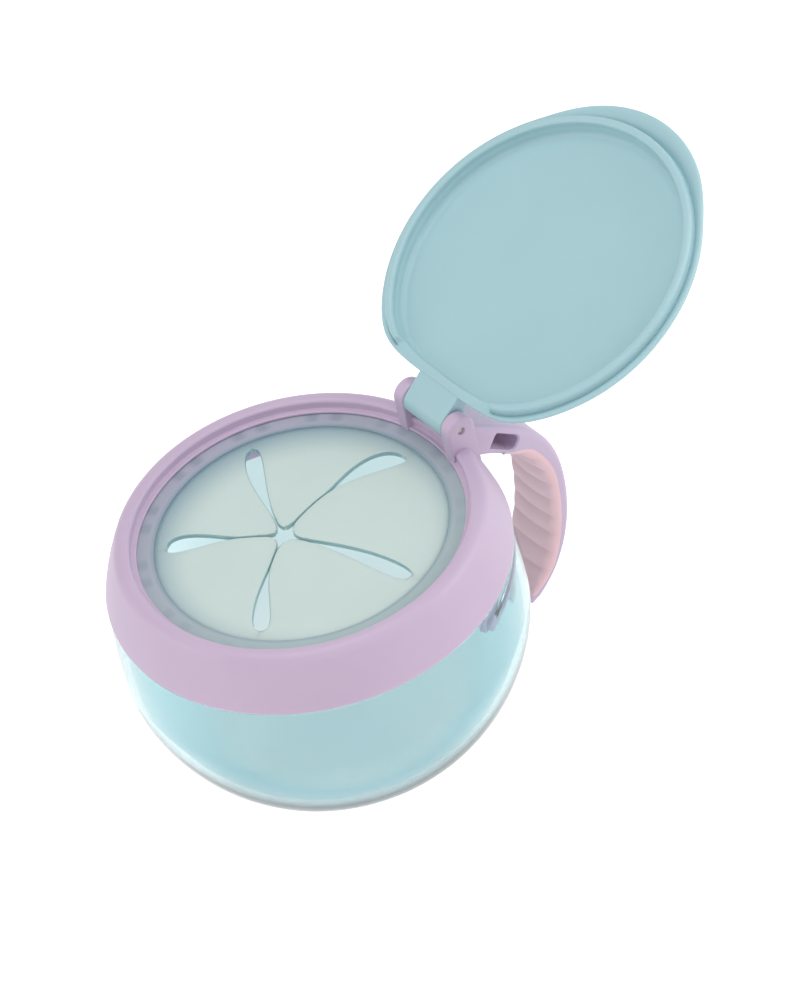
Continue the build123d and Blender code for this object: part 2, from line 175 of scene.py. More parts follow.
# a plate with a round hole, as rings about the hole's axis along y: hole wall, flat face, rounded
# edge of the outline reach(angle), side, rounded edge, flat face
def plateGrid(reach, angles, hole, low, high, edge):
    turn = np.radians(angles)
    outline = reach(turn)
    rim = 0 * outline + hole
    faces = []
    for y, way in ((low, 1), (high, -1)):
        face = [(rim, y), (rim + 0.05, y)]
        face += [(hole + (outline - hole) * share, y) for share in (0.12, 0.3, 0.6)]
        face += [(outline - edge * 1.5, y)]
        faces.append(face + [
            (outline - edge * (1 - sin(a)), y + way * edge * (1 - cos(a))) for a in arc(0, 90, 8)
        ])
    side = [(outline, low + (high - low) * share) for share in (0.3, 0.5, 0.7)]
    rows = faces[0] + side + faces[1][::-1]
    return np.stack([aroundAxis(radius, turn, y) for radius, y in rows])[..., [0, 2, 1]]


# points of the closed lid turned about the pin to where the lid stands open
def swungOpen(grid):
    turn = radians(openAngle)
    x, z = grid[..., 0] - pinX, grid[..., 2] - pinZ
    return np.stack(
        [pinX + x * cos(turn) + z * sin(turn), grid[..., 1], pinZ - x * sin(turn) + z * cos(turn)], axis=-1
    )


# four-sided faces between neighbouring points of a grid that may close on itself
def gridFaces(rows, columns, wrapRows, wrapColumns, first=0):
    i, j = np.meshgrid(
        np.arange(rows if wrapRows else rows - 1), np.arange(columns if wrapColumns else columns - 1), indexing="ij"
    )
    iNext, jNext = (i + 1) % rows, (j + 1) % columns
    corners = [i * columns + j, iNext * columns + j, iNext * columns + jNext, i * columns + jNext]
    return np.stack(corners, axis=-1).reshape(-1, 4) + first


# one object from grids of points: (grid, wrapRows, wrapColumns, capped) each, joined in one mesh.
# A capped grid gets a flat face over its first and last row, and doubles at poles are merged. A
# mask, one number for each point, is kept as the attribute cutEdge.
def makePiece(name, parts, body, material, replaces=(), sharpAngle=None, mask=None):
    vertices, faces, first = [], [], 0
    for grid, wrapRows, wrapColumns, capped in parts:
        rows, columns = grid.shape[:2]
        vertices.append(grid.reshape(-1, 3))
        faces += gridFaces(rows, columns, wrapRows, wrapColumns, first).tolist()
        if capped:
            last = first + (rows - 1) * columns
            faces.append(list(range(first, first + columns)))
            faces.append(list(range(last + columns - 1, last - 1, -1)))
        first += rows * columns
    mesh = bpy.data.meshes.new(name)
    mesh.from_pydata((np.vstack(vertices) * metre).tolist(), [], faces)
    if mask is not None:
        mesh.attributes.new("cutEdge", "FLOAT", "POINT").data.foreach_set("value", mask.ravel().astype(np.float32))
    shell = bmesh.new()
    shell.from_mesh(mesh)
    bmesh.ops.remove_doubles(shell, verts=shell.verts, dist=1e-7)
    bmesh.ops.recalc_face_normals(shell, faces=shell.faces)
    shell.to_mesh(mesh)
    shell.free()
    mesh.shade_smooth()
    if sharpAngle:
        mesh.set_sharp_from_angle(angle=radians(sharpAngle))
    piece = bpy.data.objects.new(name, mesh)
    bpy.context.scene.collection.objects.link(piece)
    mesh.materials.append(material)
    if body:
        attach(piece, body)
    if replaces:
        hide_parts(*replaces)
    return piece


# an sRGB hex value as linear red, green, blue and alpha
def linear(hexColour):
    channels = [int(hexColour[i:i + 2], 16) / 255 for i in (1, 3, 5)]
    return [c / 12.92 if c <= 0.04045 else ((c + 0.055) / 1.055) ** 2.4 for c in channels] + [1.0]


# a node with its settings. Its inputs, in their order or by name, are set, or linked to a socket
# or to the first output that another node has in use.
def addNode(tree, kind, inputs=(), **settings):
    node = tree.nodes.new("ShaderNode" + kind)
    for key, value in settings.items():
        setattr(node, key, value)
    for socket, value in inputs.items() if isinstance(inputs, dict) else enumerate(inputs):
        if isinstance(value, bpy.types.Node):
            value = next(output for output in value.outputs if output.enabled)
        if isinstance(value, bpy.types.NodeSocket):
            tree.links.new(value, node.inputs[socket])
        else:
            node.inputs[socket].default_value = value
    return node


# an empty node material, its node tree and the place on the piece
def newMaterial(name):
    material = bpy.data.materials.new(name)
    material.use_nodes = True
    tree = material.node_tree
    tree.nodes.clear()
    return material, tree, addNode(tree, "TexCoord").outputs["Object"]


# a moulded surface: an even body colour with a faint mottle, a grain that breaks up the highlights, and a little
# light that goes in and comes out again. A function of the place may mix more colours over the body colour: painted
# shade where another part stands close by, and what shows through from beneath.
def mouldedSurface(name, look, shadeAndBeneath=None):
    material, tree, place = newMaterial(name)
    mottle = addNode(tree, "TexNoise", {
        "Vector": place, "Scale": 1 / (look["mottle"] * metre), "Detail": look["mottleDetail"],
    })
    tone = addNode(tree, "Mix", {
        "Factor": mottle, "A": linear(look["shade"]), "B": linear(look["colour"]),
    }, data_type="RGBA")
    # painted shade and colours from beneath, mixed over the body colour
    for share, colour in shadeAndBeneath(tree, place) if shadeAndBeneath else ():
        tone = addNode(tree, "Mix", {"Factor": share, "A": tone, "B": linear(colour)}, data_type="RGBA")
    grain = addNode(tree, "TexNoise", {
        "Vector": place, "Scale": 1 / (look["grain"] * metre), "Detail": look["grainDetail"],
    })
    bump = addNode(tree, "Bump", {"Height": grain, "Strength": look["grainStrength"], "Distance": 0.05 * metre})
    gloss = look["roughness"]
    if look["uneven"]:
        gloss = addNode(tree, "MapRange", {
            "Value": mottle, "To Min": gloss - look["uneven"], "To Max": gloss + look["uneven"],
        })
    shader = addNode(tree, "BsdfPrincipled", {
        "Base Color": tone, "Roughness": gloss, "Normal": bump, "IOR": look["ior"],
        "Subsurface Weight": look["milkiness"], "Subsurface Scale": look["depth"],
        "Subsurface Radius": look["bleed"], "Transmission Weight": look["clearness"],
    })
    addNode(tree, "OutputMaterial", {"Surface": shader})
    return material


# injection-moulded tinted copolyester: clear and glossy, with a faint waviness from the mould.
# Seen at a slant the wall is thicker, so its tint deepens there, and the floor is the palest. The
# solid foot is the deepest. Light passes on through it.
def clearCopolyester(name, look):
    material, tree, place = newMaterial(name)
    flow = addNode(tree, "TexNoise", {"Vector": place, "Scale": 1 / (look["flow"] * metre), "Detail": 2.0})
    bump = addNode(tree, "Bump", {"Height": flow, "Strength": look["flowStrength"], "Distance": 0.2 * metre})
    away = addNode(tree, "LayerWeight", {"Blend": 0.5}).outputs["Facing"]
    slant = addNode(tree, "Math", (away, look["slantPower"]), operation="POWER")
    slant = addNode(tree, "Math", (slant, look["slantMost"]), operation="MULTIPLY")
    facing = addNode(tree, "SeparateXYZ", [addNode(tree, "NewGeometry").outputs["Normal"]]).outputs["Z"]
    level = addNode(tree, "Math", [facing], operation="ABSOLUTE")
    level = addNode(tree, "Math", (level, look["levelPower"]), operation="POWER")
    height = addNode(tree, "SeparateXYZ", [place]).outputs["Z"]
    foot = addNode(tree, "Math", (height, look["footHeight"] * metre), operation="DIVIDE")
    foot = addNode(tree, "Math", (1.0, foot), operation="SUBTRACT", use_clamp=True)
    rimmed = addNode(tree, "Math", (away, look["footPower"]), operation="POWER")
    foot = addNode(tree, "Math", (foot, rimmed), operation="MULTIPLY")
    tint = linear(look["colour"])
    for share, colour in ((level, "floor"), (slant, "deep"), (foot, "foot")):
        tint = addNode(tree, "Mix", {"Factor": share, "A": tint, "B": linear(look[colour])}, data_type="RGBA")
    shader = addNode(tree, "BsdfPrincipled", {
        "Base Color": tint, "Roughness": look["roughness"], "IOR": look["ior"],
        "Transmission Weight": look["clearness"], "Normal": bump,
    })
    through = addNode(tree, "BsdfTransparent", {"Color": linear(look["shadow"])})
    ray = addNode(tree, "LightPath").outputs
    unseen = addNode(tree, "Math", (ray["Is Shadow Ray"], ray["Is Diffuse Ray"]), operation="MAXIMUM")
    addNode(tree, "OutputMaterial", {"Surface": addNode(tree, "MixShader", (unseen, shader, through))})
    return material


# stainless pin stock, cut to length: bright, with a fine unevenness in its gloss from the cutting
def turnedSteel(name, look):
    material, tree, place = newMaterial(name)
    scratch = addNode(tree, "TexNoise", {"Vector": place, "Scale": 1 / (look["scratch"] * metre), "Detail": 3.0})
    gloss = addNode(tree, "MapRange", {"Value": scratch, "To Min": look["smoothest"], "To Max": look["roughest"]})
    shader = addNode(tree, "BsdfPrincipled", {
        "Base Color": linear(look["colour"]), "Metallic": 1.0, "Roughness": gloss,
    })
    addNode(tree, "OutputMaterial", {"Surface": shader})
    return material


# x, y and the distance from the vertical axis, in metres
def flatPolar(tree, place):
    xyz = addNode(tree, "SeparateXYZ", [place]).outputs
    squares = [addNode(tree, "Math", (xyz[axis], xyz[axis]), operation="MULTIPLY") for axis in "XY"]
    across = addNode(tree, "Math", squares, operation="ADD")
    return xyz["X"], xyz["Y"], addNode(tree, "Math", [across], operation="SQRT")


# painted shade on the sheet where the far side of the collar stands close beneath it and shades it, in a band that
# is widest opposite the light, and teal where its cut edge shows
def paintedRingShadeAndCutEdge(tree, place):
    x, y, radius = flatPolar(tree, place)
    way = direction(shade["farSide"])
    parts = [addNode(tree, "Math", (part, float(w)), operation="MULTIPLY") for part, w in zip((x, y), way)]
    toward = addNode(tree, "Math", parts, operation="ADD")
    radiusHere = addNode(tree, "Math", (radius, 0.001), operation="MAXIMUM")
    toward = addNode(tree, "Math", (toward, radiusHere), operation="DIVIDE")
    side = addNode(tree, "Math", (toward, 0.5, 0.5), operation="MULTIPLY_ADD")
    widths = [shade[width] * metre for width in ("widest", "narrowest")]
    reach = addNode(tree, "Math", [side] + widths, operation="MULTIPLY_ADD")
    # how much painted shade: full at the ring, fading inwards over the band's width, most on the far side
    share = addNode(tree, "Math", (shade["ring"] * metre, radius), operation="SUBTRACT")
    share = addNode(tree, "Math", (share, reach), operation="DIVIDE")
    share = addNode(tree, "Math", (1.0, share), operation="SUBTRACT", use_clamp=True)
    share = addNode(tree, "Math", (share, shade["fade"]), operation="POWER")
    side = addNode(tree, "Math", (side, shade["farShare"], shade["nearShare"]), operation="MULTIPLY_ADD")
    share = addNode(tree, "Math", (share, side), operation="MULTIPLY")
    edge = addNode(tree, "Attribute", attribute_name="cutEdge").outputs["Fac"]
    edge = addNode(tree, "Math", (edge, shade["cutShare"]), operation="MULTIPLY")
    return [(share, shade["deep"]), (edge, shade["cut"])]


# painted shade on the clamped band over the gaps beside each of the retainer's snap tabs, two marks a tab by the
# angle round the ring and fading towards the near side, and painted shade at its step down to the flaps. The lilac
# ring beneath shows more towards the far side.
def ringBeneathAndTabShade(tree, place):
    x, y, radius = flatPolar(tree, place)
    turn = addNode(tree, "Math", (y, x), operation="ARCTAN2")
    tab = 2 * pi / shade["tabs"]
    off = addNode(tree, "Math", (turn, radians(shade["tabStart"])), operation="SUBTRACT")
    off = addNode(tree, "Math", (off, tab / 2), operation="ADD")
    off = addNode(tree, "Math", (off, tab), operation="FLOORED_MODULO")
    for middle in (tab / 2, radians(shade["markOff"])):
        off = addNode(tree, "Math", (off, middle), operation="SUBTRACT")
        off = addNode(tree, "Math", [off], operation="ABSOLUTE")
    mark = addNode(tree, "Math", (radians(shade["markHalf"]), off), operation="SUBTRACT")
    mark = addNode(tree, "Math", (mark, radians(shade["markSoft"])), operation="DIVIDE")
    mark = addNode(tree, "Math", (mark, 0.5), operation="ADD", use_clamp=True)
    mark = addNode(tree, "Math", (mark, shade["markDepth"]), operation="MULTIPLY")
    outer = addNode(tree, "Math", (radius, shade["marksFrom"] * metre), operation="SUBTRACT")
    outer = addNode(tree, "Math", (outer, shade["marksFade"] * metre), operation="DIVIDE", use_clamp=True)
    # painted shade at the step down to the flaps
    step = addNode(tree, "Math", (shade["stepTo"] * metre, radius), operation="SUBTRACT")
    step = addNode(tree, "Math", (step, shade["stepFade"] * metre), operation="DIVIDE", use_clamp=True)
    step = addNode(tree, "Math", (step, shade["stepShare"]), operation="MULTIPLY")
    away = addNode(tree, "Math", (turn, radians(shade["farSide"])), operation="SUBTRACT")
    away = addNode(tree, "Math", [away], operation="COSINE")
    away = addNode(tree, "Math", (away, 0.5, 0.5), operation="MULTIPLY_ADD")
    # the painted shade over the tab gaps fades out towards the near side
    mark = addNode(tree, "Math", (mark, away), operation="MULTIPLY")
    mark = addNode(tree, "Math", (mark, outer), operation="MULTIPLY")
    return [(away, shade["lilac"]), (mark, shade["mark"]), (step, shade["deep"])]


# what is mixed into the sheet and the band: painted shade beside the collar, over the tab gaps and at the step
# (deep and mark), the lilac ring beneath, and the cut edges
shade = {
    "farSide": 82.0, "lilac": "#babbcd", "widest": 8.5, "narrowest": 3.0, "ring": 34.25, "deep": "#86a5b4",
    "fade": 1.7, "farShare": 0.85, "nearShare": 0.1, "cut": "#6fa6ad", "cutShare": 0.65,
    "tabs": 13, "tabStart": -38.8, "markOff": 4.6, "markHalf": 2.2, "markSoft": 2.4, "markDepth": 0.5,
    "mark": "#8496a6", "marksFrom": 35.6, "marksFade": 0.7, "stepTo": 35.3, "stepFade": 1.1, "stepShare": 0.8,
}
# injection-moulded polypropylene: a soft sheen, broken up by a spark-eroded grain. The real grain is
# too fine to show, so it is drawn 0.35 mm coarse.
plastic = {
    "mottleDetail": 3.0, "grain": 0.35, "grainDetail": 2.0, "uneven": 0.04, "ior": 1.49, "milkiness": 0.1,
    "depth": 0.004, "bleed": (1.0, 0.8, 1.0), "clearness": 0.0,
}
collarPlastic = mouldedSurface("lilacPolypropylene", plastic | {
    "colour": "#c9b5cd", "shade": "#c4afc8", "mottle": 14.0, "grainStrength": 0.06, "roughness": 0.42,
})
lidPlastic = mouldedSurface("mintPolypropylene", plastic | {
    "colour": "#a9ccd2", "shade": "#a4c7cd", "mottle": 16.0, "grainStrength": 0.05, "roughness": 0.4,
})
bowlPlastic = clearCopolyester("tealCopolyester", {
    "colour": "#cce5e8", "floor": "#e0ebec", "foot": "#6cbfd2", "footHeight": 26.0, "footPower": 1.3,
    "levelPower": 3.0, "deep": "#b4d9e0", "slantPower": 2.6, "slantMost": 0.8, "roughness": 0.04,
    "clearness": 0.96, "ior": 1.38, "flow": 22.0, "flowStrength": 0.05, "shadow": "#f4fbfc",
})
# moulded elastomer and silicone: soft, dull and slightly milky. Their powdery grain is drawn
# coarser than the real one, so that it shows.
rubber = {
    "mottleDetail": 4.0, "grainDetail": 3.0, "uneven": 0.0, "ior": 1.41, "depth": 0.003, "bleed": (1.0, 1.0, 1.0),
}
gripRubber = mouldedSurface("pinkElastomer", rubber | {
    "colour": "#f2cbd0", "shade": "#eec4ca", "mottle": 9.0, "grain": 0.25, "grainStrength": 0.2, "roughness": 0.62,
    "milkiness": 0.15, "clearness": 0.0,
})
silicone = rubber | {
    "colour": "#dae8e3", "shade": "#d3e4df", "mottle": 12.0, "grain": 0.3, "grainStrength": 0.12, "roughness": 0.5,
    "milkiness": 0.2, "clearness": 0.2,
}
# the sheet and the band take painted shade from the two functions above
membraneRubber = mouldedSurface("frostedSilicone", silicone, paintedRingShadeAndCutEdge)
bandRubber = mouldedSurface("clampedSilicone", silicone | {"colour": "#bfd4d4", "shade": "#b8cdce"}, ringBeneathAndTabShade)
pinSteel = turnedSteel("turnedStainlessSteel", {
    "colour": "#b9b2ac", "scratch": 0.3, "smoothest": 0.25, "roughest": 0.4,
})
print("materials made")

camera = {  # the photograph's viewpoint, as a place and three unit vectors
    "place": (-256.687, -508.897, 603.556),
    "right": (0.7744752, -0.61022783, -0.16676378),
    "up": (0.52593601, 0.47461864, 0.70578216),
    "back": (-0.35153872, -0.63431786, 0.68852116),
    "lens": 123.88, "shift": (0.006236, 0.001376),
}


# an eye at that place, its matrix made of the three unit vectors as columns
def makeCamera():
    data = bpy.data.cameras.new("camera")
    data.lens = camera["lens"]
    data.sensor_width = 36.0
    data.shift_x, data.shift_y = camera["shift"]
    data.clip_start, data.clip_end = 0.05, 10.0
    eye = bpy.data.objects.new("camera", data)
    turn = Matrix((camera["right"], camera["up"], camera["back"])).transposed().to_4x4()
    eye.matrix_world = Matrix.Translation(Vector(camera["place"]) * metre) @ turn
    bpy.context.scene.collection.objects.link(eye)
    bpy.context.scene.camera = eye


makeCamera()

bowl = {
    "footRadius": 27.35, "bellyHeight": 32.2, "mouthRadius": 47.45, "wall": 2.0, "floor": 2.2, "fullness": 0.436,
    "rimRound": 0.6, "angles": 416,
    "rampStarts": 2, "rampStart": -65.0, "rampSpan": 46.0, "rampLead": 24.0, "rampHeight": 2.2, "rampMiddle": 45.65,
    "rampBore": 44.25, "rampFade": 12.0,
}


# foot to belly on a cubic, then belly to mouth on an arc that starts upright
def bowlSide(foot, belly, mouth, bottom, top, longest):
    height = bowl["bellyHeight"]
    side, rise = bowl["fullness"] * (belly - foot), bowl["fullness"] * (height - bottom)
    lower = bezier((foot, bottom), (foot + side, bottom), (belly, height - rise), (belly, height), 48)
    run, climb = belly - mouth, top - height
    radius = (run ** 2 + climb ** 2) / (2 * run)
    turn = np.linspace(0, np.arcsin(climb / radius), max(16, int(climb / longest)))[1:]
    upper = np.column_stack([belly - radius * (1 - np.cos(turn)), height + radius * np.sin(turn)])
    return np.vstack([lower, upper])


# the shell as one line turned about the axis. The ramps are helical ridges that stand in from the
# inner wall as far as the ramp bore, their middle height rising by the lead a turn.
def makeBowl():
    b = bowl
    bore, top, soft = b["mouthRadius"] - b["wall"], bowlTop - b["rimRound"], b["rimRound"] * 0.95
    outside = bowlSide(b["footRadius"], bellyRadius, b["mouthRadius"], 0, top, 0.8)
    inside = bowlSide(b["footRadius"] - 1, bellyRadius - b["wall"], bore, b["floor"], top, 0.25)
    rim = roundedPath([outside[-1], (b["mouthRadius"], bowlTop), (bore, bowlTop), inside[-1]],
                      [0, soft, soft, 0], closed=False, longest=0.3)
    bottom = filled(np.array([(0.0, 0.0), outside[0]]), False, 2.0)[:-1]
    floor = filled(np.array([inside[0], (0.0, b["floor"])]), False, 2.0)[1:]
    line = np.vstack([bottom, outside, rim[1:-1], inside[::-1], floor])
    angles = everyAngle(b["angles"])
    grid = turnedGrid(line, angles)
    first = len(bottom) + len(outside) + len(rim) - 2
    wall = slice(first, first + len(inside))
    radius, height = line[wall].T
    swell = 0
    for start in range(b["rampStarts"]):
        along = ((angles - b["rampStart"] - 360 * start / b["rampStarts"]) % 360)[:, None]
        across = np.abs(height - (b["rampMiddle"] + b["rampLead"] * along / 360))
        ends = smoothStep(along, 0, b["rampFade"]) * smoothStep(b["rampSpan"] - along, 0, b["rampFade"])
        swell = swell + ends * (1 - smoothStep(across, b["rampHeight"] / 2 - 0.3, b["rampHeight"] / 2 + 0.1))
    inner = radius - np.maximum(radius - b["rampBore"], 0) * swell
    grid[:, wall] = aroundAxis(inner, np.radians(angles)[:, None], height)
    return makePiece("bowlShell", [(grid, True, False, False)], "bowl", bowlPlastic, ["bowl"])


makeBowl()
print("bowl made")

collar = {
    "radius": 48.0, "crown": 42.9, "crownRound": 2.6, "openingRound": 0.8, "bulge": 0.35, "lipDepth": 2.4,
    "lipWidth": 1.2, "lipThickness": 0.7, "pocketBottom": 57.2, "pocketOuter": 41.3, "pocketSlope": 2.9,
    "pocketFoot": 57.66, "channelTop": 60.2, "channelOuter": 42.19, "wallFoot": 45.8,
    "skirtBore": 42.4, "skirtRadius": 44.0, "skirtBottom": 47.6, "skirtTop": 54.96,
    "lugLow": 41.3, "lugStarts": (-65.0, 115.0), "lugSpan": 40.0, "lugHeight": 3.0, "lugRadius": 45.2,
    "lugRoot": 0.6, "lugLead": 24.0, "lugEnd": 0.9, "plateMargin": 1.5,
}


# the whole ring as one closed line turned about the axis, with a slight bulge on its sloping face
def makeCollarRing():
    c = collar
    lipTop, lipRadius = rimHeight - c["lipDepth"], openingRadius - c["lipWidth"]
    lipBottom = lipTop - c["lipThickness"]
    line = roundedPath([
        (c["radius"], seatHeight), (c["crown"], rimHeight), (openingRadius, rimHeight), (openingRadius, lipTop),
        (lipRadius, lipTop), (lipRadius, lipBottom), (openingRadius, lipBottom), (openingRadius, c["pocketBottom"]),
        (c["skirtBore"], c["pocketBottom"] - c["pocketSlope"]), (c["skirtBore"], c["skirtBottom"]),
        (c["skirtRadius"], c["skirtBottom"]), (c["skirtRadius"], c["skirtTop"]),
        (c["pocketOuter"], c["pocketFoot"]), (c["pocketOuter"], c["channelTop"]),
        (c["channelOuter"], c["channelTop"]), (c["wallFoot"], seatHeight),
    ], [
        0.5, c["crownRound"], c["openingRound"], 0.35, 0.3, 0.2, 0.2, 0.3, 0.3, 0.4, 0.4, 0.3, 0.3, 0.3, 0.3, 0.3,
    ], longest=0.8)
    share = (line[:, 1] - seatHeight) / (rimHeight - seatHeight)
    slope = c["radius"] - (c["radius"] - c["crown"]) * share
    onSlope = (np.abs(line[:, 0] - slope) < 0.9) & (share > 0)
    line[:, 0] += np.where(onSlope, c["bulge"] * np.sin(pi * np.clip(share, 0, 1)), 0)
    grid = turnedGrid(line, everyAngle(360))
    return makePiece("collarRing", [(grid, True, True, False)], "collar", collarPlastic, ["collar"])


# plates under the skirt, each with a helical lug: a rounded section carried round the axis, and for
# the lug also up the helix. The section shrinks to nothing at both ends on a quarter circle.
def makeCollarLugs():
    c = collar
    plateTop = c["skirtBottom"] + 1
    plateLine = roundedPath([
        (c["skirtBore"], c["lugLow"]), (c["skirtRadius"], c["lugLow"]), (c["skirtRadius"], plateTop),
        (c["skirtBore"], plateTop),
    ], [0.5] * 4, longest=0.6)
    low, high, root = c["lugLow"], c["lugLow"] + c["lugHeight"], c["skirtRadius"] - c["lugRoot"]
    lugLine = roundedPath(
        [(root, low), (c["lugRadius"], low), (c["lugRadius"], high), (root, high)], [0.4] * 4, longest=0.6
    )
    parts = []
    for first in c["lugStarts"]:
        for line, margin, lead in ((plateLine, c["plateMargin"], 0.0), (lugLine, 0.0, c["lugLead"])):
            along = np.linspace(-margin, c["lugSpan"] + margin, 90)[:, None]
            reach = c["lugSpan"] + 2 * margin
            gone = (along + margin) / reach
            size = np.clip(np.minimum(gone, 1 - gone) * reach / c["lugEnd"], 0, 1)
            size = np.sqrt(1 - (1 - size) ** 2)[..., None]
            section = line.mean(0) + (line - line.mean(0)) * size
            height = section[..., 1] + lead * along / 360
            parts.append((aroundAxis(section[..., 0], np.radians(first + along), height), False, True, False))
    return makePiece("collarLugs", parts, "collar", collarPlastic)


ears = {"radius": 3.8, "inside": 7.08, "thickness": 3.4, "foot": 55.4, "edge": 0.7, "bore": 1.05}
pin = {"dimple": 0.12, "dimpleFloor": 0.45, "dimpleRim": 0.55, "dimpleRound": 0.05, "endRound": 0.15}


# distance from the pin to the ear's outline: a round top on straight sides and a flat foot
def earReach(turn):
    side = ears["radius"] / np.maximum(np.abs(np.cos(turn)), 1e-6)
    foot = (pinZ - ears["foot"]) / np.maximum(-np.sin(turn), 1e-6)
    return np.where(np.sin(turn) > 0, ears["radius"], np.minimum(side, foot))


# two bored plates, mirrored about the middle, with more points across the narrow foot
def makeEars():
    angles = np.unique(np.concatenate([everyAngle(120), 270 + np.linspace(-16, 16, 33)]))
    parts = []
    for side in (-1, 1):
        low, high = sorted((side * ears["inside"], side * (ears["inside"] + ears["thickness"])))
        grid = plateGrid(earReach, angles, ears["bore"], low, high, ears["edge"])
        parts.append((grid + pinPlace, True, True, False))
    return makePiece("hingeEars", parts, "collar", collarPlastic)


# a turned pin: a line of (radius, distance along the pin) with a small dimple in each end
def makePin():
    low, high = nodeBox("hinge_pin")
    half, radius, floor = high[1], (high[2] - low[2]) / 2, pin["dimple"] - high[1]
    corners = [
        (0, floor), (radius * pin["dimpleFloor"], floor), (radius * pin["dimpleRim"], -half), (radius, -half),
    ]
    corners += [(r, -y) for r, y in corners[::-1]]
    rounds = [0, pin["dimpleRound"], pin["dimpleRound"], pin["endRound"]]
    line = roundedPath(corners, rounds + rounds[::-1], closed=False, longest=1.0)
    grid = turnedGrid(line, everyAngle(48))[..., [0, 2, 1]] + pinPlace
    return makePiece("hingePin", [(grid, True, False, False)], "collar", pinSteel, ["hinge_pin"])


makeCollarRing()
makeCollarLugs()
makeEars()
makePin()
print("collar made")

handle = {
    "halfWidth": 8.25, "fingerGap": 13.8, "gripThickness": 1.8, "spine": 3.9, "middleHeight": 32.5,
    "tip": (54.2, 1.5), "tipThickness": 3.4, "tipSlope": 38.0, "barOverRim": 2.3, "barThickness": 10.0,
    "barSlope": 35.0, "underSlope": 22.0, "edge": 1.5, "seamEdge": 0.12, "rootUnder": (43.4, 56.6),
    "rootTop": (43.8, 61.5), "outerReach": (0.485, 0.353), "innerReach": (0.27, 0.30),
    "gripStart": 0.28, "gripEnd": 1.0, "gripThin": 0.8, "gripDeep": 3.3, "gripEdge": 2.2, "gripCrown": 1.2,
    "deepFrom": 1.0, "deepAt": 9.5, "shallowFrom": 9.0, "shallowAt": -4.0,
    "ribPitch": 5.0, "ribMargin": 2.2, "ribDepth": 0.6, "ribPower": 0.8,
    "slotLength": 8.0, "slotWidth": 4.1, "slotShare": 0.318, "slotInset": 3.9, "slotFlare": 0.4,
    "slotCorner": 0.5, "slotRound": 1.7,
}


# out from the collar and down to the farthest point, upright there, then on to the end
def handleSide(start, startSlope, middleX, end, reach):
    start, end = np.array(start, float), np.array(end, float)
    middle = np.array([middleX, handle["middleHeight"]])
    above = middle + (0, 0.5 * (start[1] - middle[1]))
    below = middle - (0, 0.45 * (middle[1] - end[1]))
    outward = start + direction(-startSlope) * reach[0] * np.linalg.norm(middle - start)
    inward = end + direction(handle["tipSlope"]) * reach[1] * np.linalg.norm(middle - end)
    return bezier(start, outward, above, middle, 60), bezier(middle, below, inward, end, 60)


# the handle's outer and inner side lines in the x-z plane, from the ears to the tip
def handleLines():
    h = handle
    innerX = bellyRadius + h["fingerGap"]
    outerX = innerX + h["gripThickness"] + h["spine"]
    start = (pinX + ears["radius"], rimHeight + h["barOverRim"])
    under = (start[0], start[1] - h["barThickness"])
    tipInner = np.array(h["tip"]) + h["tipThickness"] * direction(90 + h["tipSlope"])
    outer = handleSide(start, h["barSlope"], outerX, h["tip"], h["outerReach"])
    inner = handleSide(under, h["underSlope"], innerX, tipInner, h["innerReach"])
    return outer, inner


# matching points of the outer and inner side, at even steps on each half, and the distances along
# the inner side where the grip starts and ends
def handleStations():
    outer, inner = handleLines()
    outside, inside = (np.vstack([resampled(half[0], 110), resampled(half[1], 110)[1:]]) for half in (outer, inner))
    upper, lower = alongLine(inner[0])[-1], alongLine(inner[1])[-1]
    return outside, inside, handle["gripStart"] * upper, upper + handle["gripEnd"] * lower


# how deep the grip is let in: thin under the slot, then full, and less again near the tip
def gripDepth(along, start, end):
    h = handle
    deeper = smoothStep(along - start, h["deepFrom"], h["deepAt"])
    share = np.minimum(deeper, smoothStep(end - along, h["shallowAt"], h["shallowFrom"]))
    return h["gripThin"] + (h["gripDeep"] - h["gripThin"]) * share


# a bar between two lines of the x-z plane, as rounded rectangles carried along both. Each section
# has its own corner radius at the inner and the outer line. A wave, in millimetres, sinks the inner
# face, and fades out over the last part of its width. A crown sinks its sides.
def bandGrid(inner, outer, halfWidth, innerEdge, outerEdge, wave=None, crown=0.0):
    thickness = np.linalg.norm(outer - inner, axis=1)[:, None]
    across = (outer - inner) / thickness
    near, far, sinking = (np.broadcast_to(size, len(inner))[:, None] for size in (innerEdge, outerEdge, crown))
    flat, deep = np.linspace(-1, 1, 25)[1:-1], np.linspace(0, 1, 9)[1:-1]
    nearIn, nearDown = roundedEdge(near)
    farIn, farDown = roundedEdge(far)
    innerSide = np.hstack([-halfWidth + nearIn[:, ::-1], (halfWidth - near) * flat, halfWidth - nearIn])
    innerRise = np.hstack([nearDown[:, ::-1], 0 * near * flat, nearDown])
    innerRise = innerRise + sinking * (innerSide / halfWidth) ** 2
    if wave is not None:
        fade = 1 - np.clip((np.abs(innerSide) / halfWidth - 0.6) / 0.4, 0, 1) ** 2
        innerRise = innerRise + wave[:, None] * fade
    sideRise = near + sinking + (thickness - near - sinking - far) * deep
    outerSide = np.hstack([halfWidth - farIn[:, ::-1], (far - halfWidth) * flat, -halfWidth + farIn])
    outerRise = thickness - np.hstack([farDown[:, ::-1], 0 * far * flat, farDown])
    rise = np.hstack([innerRise, sideRise, outerRise, sideRise[:, ::-1]])
    width = np.hstack([innerSide, halfWidth + 0 * sideRise, outerSide, -halfWidth + 0 * sideRise])
    place = inner[:, None, :] + across[:, None, :] * rise[..., None]
    return np.stack([place[..., 0], width, place[..., 1]], axis=-1)


